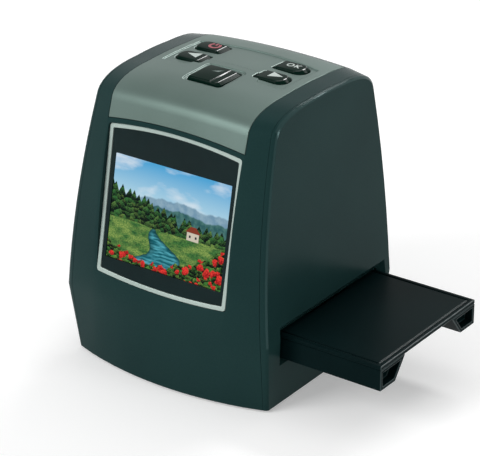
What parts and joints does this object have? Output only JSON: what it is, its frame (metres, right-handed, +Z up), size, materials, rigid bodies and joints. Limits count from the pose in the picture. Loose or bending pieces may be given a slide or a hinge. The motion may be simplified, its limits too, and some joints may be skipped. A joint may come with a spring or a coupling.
{
  "type": "film negative scanner",
  "caption": "Desktop film scanner with a leaning colour screen, a silver top panel of keys and a film holder that slides through its sides.",
  "frame": {"origin": "middle of the base plate's underside, midway between the side covers, 37.6 mm behind the front edge of the side faces at their kink", "axes": "+Z up, the screen faces -Y, +X to the right of someone who faces the screen, where the film holder comes out"},
  "size_m": [0.13, 0.0824, 0.1059],
  "materials": {
    "housing_plastic": "semi-gloss dark grey-green",
    "base_plastic": "fine matte",
    "foot_rubber": "matte black",
    "screw_steel": "plated",
    "panel_silver": "satin silver-grey paint on plastic",
    "trim_silver": "pale silver",
    "window_dark": "dark, flat and glossy",
    "display_glass": "lit display, opaque here",
    "display_frame": "pressed sheet",
    "ribbon_amber": "polyimide ribbon",
    "circuit_board": "green solder mask",
    "switch_body": "black switch body",
    "button_black": "glossy black-green",
    "chip_black": "moulded chip",
    "socket_steel": "pressed shell",
    "jack_plastic": "black nylon",
    "chassis_plastic": "dark moulded plastic",
    "barrel_black": "black anodised",
    "lens_glass": "coated glass",
    "light_box_white": "white reflector",
    "diffuser_white": "opal",
    "led_board_white": "white solder mask",
    "led_yellow": "white LED with phosphor",
    "holder_black": "black with a slight sheen"
  },
  "bodies": {
    "scanner": {"front_housing": "housing_plastic", "rear_cover": "housing_plastic", "left_side_cover": "housing_plastic", "right_side_cover": "housing_plastic", "base_plate": "base_plastic", "foot_1": "foot_rubber", "foot_2": "foot_rubber", "foot_3": "foot_rubber", "foot_4": "foot_rubber", "base_screw_1": "screw_steel", "base_screw_2": "screw_steel", "base_screw_3": "screw_steel", "base_screw_4": "screw_steel", "board_screw_1": "screw_steel", "board_screw_2": "screw_steel", "board_screw_3": "screw_steel", "board_screw_4": "screw_steel", "top_panel": "panel_silver", "screen_trim": "trim_silver", "screen_window": "window_dark", "lcd_glass": "display_glass", "lcd_frame": "display_frame", "lcd_cable": "ribbon_amber", "key_cable": "ribbon_amber", "key_board": "circuit_board", "main_board": "circuit_board", "sensor_board": "circuit_board", "power_switch": "switch_body", "left_switch": "switch_body", "scan_switch": "switch_body", "right_switch": "switch_body", "ok_switch": "switch_body", "board_chip": "chip_black", "image_sensor": "chip_black", "card_socket": "socket_steel", "usb_socket": "socket_steel", "video_jack": "jack_plastic", "lower_guide": "chassis_plastic", "upper_guide": "chassis_plastic", "lens_tower": "chassis_plastic", "lens_barrel": "barrel_black", "lens_low": "lens_glass", "lens_high": "lens_glass", "ir_filter": "lens_glass", "light_box": "light_box_white", "diffuser": "diffuser_white", "led_board": "led_board_white", "led_1": "led_yellow", "led_2": "led_yellow", "led_3": "led_yellow", "led_4": "led_yellow"},
    "film_holder": {"holder_base": "holder_black", "holder_lid": "holder_black"},
    "power_key": {"power_button": "button_black"},
    "left_key": {"left_button": "button_black"},
    "scan_key": {"scan_button": "button_black"},
    "right_key": {"right_button": "button_black"},
    "ok_key": {"ok_button": "button_black"}
  },
  "joints": [
    {"name": "holder_slide", "type": "slide", "parent": "scanner", "child": "film_holder", "axis": [1, 0, 0], "range_m": [-0.034, 0.076]},
    {"name": "power_press", "type": "slide", "parent": "scanner", "child": "power_key", "axis": [0, 0, -1], "range_m": [0, 0.0005], "stiffness_N_per_m": 1500, "springref_m": -0.0004},
    {"name": "left_press", "type": "slide", "parent": "scanner", "child": "left_key", "axis": [0, 0, -1], "range_m": [0, 0.0005], "stiffness_N_per_m": 1500, "springref_m": -0.0004},
    {"name": "scan_press", "type": "slide", "parent": "scanner", "child": "scan_key", "axis": [0, 0, -1], "range_m": [0, 0.0005], "stiffness_N_per_m": 1500, "springref_m": -0.0004},
    {"name": "right_press", "type": "slide", "parent": "scanner", "child": "right_key", "axis": [0, 0, -1], "range_m": [0, 0.0005], "stiffness_N_per_m": 1500, "springref_m": -0.0004},
    {"name": "ok_press", "type": "slide", "parent": "scanner", "child": "ok_key", "axis": [0, 0, -1], "range_m": [0, 0.0005], "stiffness_N_per_m": 1500, "springref_m": -0.0004}
  ]
}
